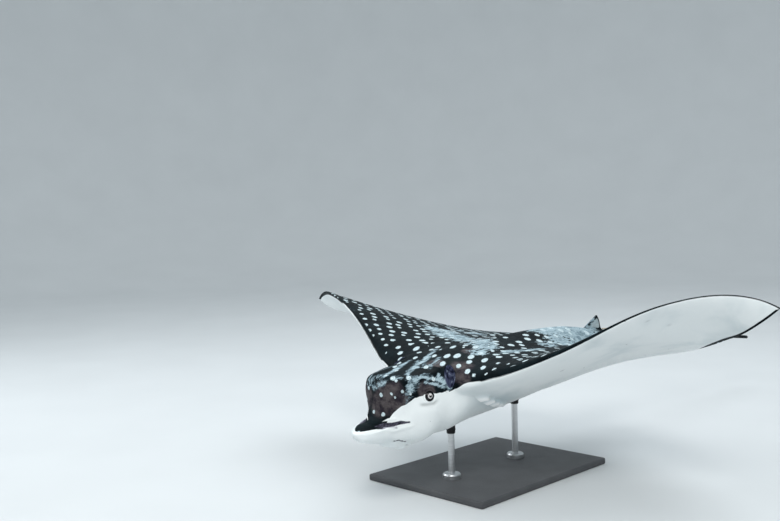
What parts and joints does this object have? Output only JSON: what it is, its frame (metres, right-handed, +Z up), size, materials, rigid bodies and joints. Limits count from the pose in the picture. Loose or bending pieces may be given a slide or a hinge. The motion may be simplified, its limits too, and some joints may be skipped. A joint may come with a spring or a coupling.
{
  "type": "spotted eagle ray model",
  "caption": "Life-size still model of a spotted eagle ray gliding with raised wings, dark spotted back and white belly, held over a flat base by short rods.",
  "frame": {"origin": "middle of the display stand's flat underside, on the floor", "axes": "+Z up, the animal faces -Y and its left side is +X, +Y runs back along the tail"},
  "size_m": [1.4219, 1.93, 0.4733],
  "materials": {
    "ray_skin": "satin wet-look skin: near-black back with white spots and pale patches, white underside",
    "ray_fin_skin": "satin wet-look skin: near-black above with rows of white spots, white below with a dark rim",
    "eye": "glossy dark glass-like eye with a pale ring",
    "spine_bone": "dull ivory-coloured sting",
    "stand_paint": "satin charcoal paint on steel plate",
    "stand_steel": "brushed stainless rod"
  },
  "bodies": {
    "root": {"head": "ray_skin", "rostral_lobe": "ray_skin", "trunk": "ray_skin", "tail_base": "ray_skin", "tail_middle": "ray_skin", "tail_end": "ray_skin", "pectoral_fin_left": "ray_fin_skin", "pectoral_fin_right": "ray_fin_skin", "pelvic_fin_left": "ray_fin_skin", "pelvic_fin_right": "ray_fin_skin", "dorsal_fin": "ray_fin_skin", "eye_left": "eye", "eye_right": "eye", "tail_spine": "spine_bone", "stand_base": "stand_paint", "stand_rod_front": "stand_steel", "stand_rod_rear": "stand_steel"}
  },
  "joints": []
}
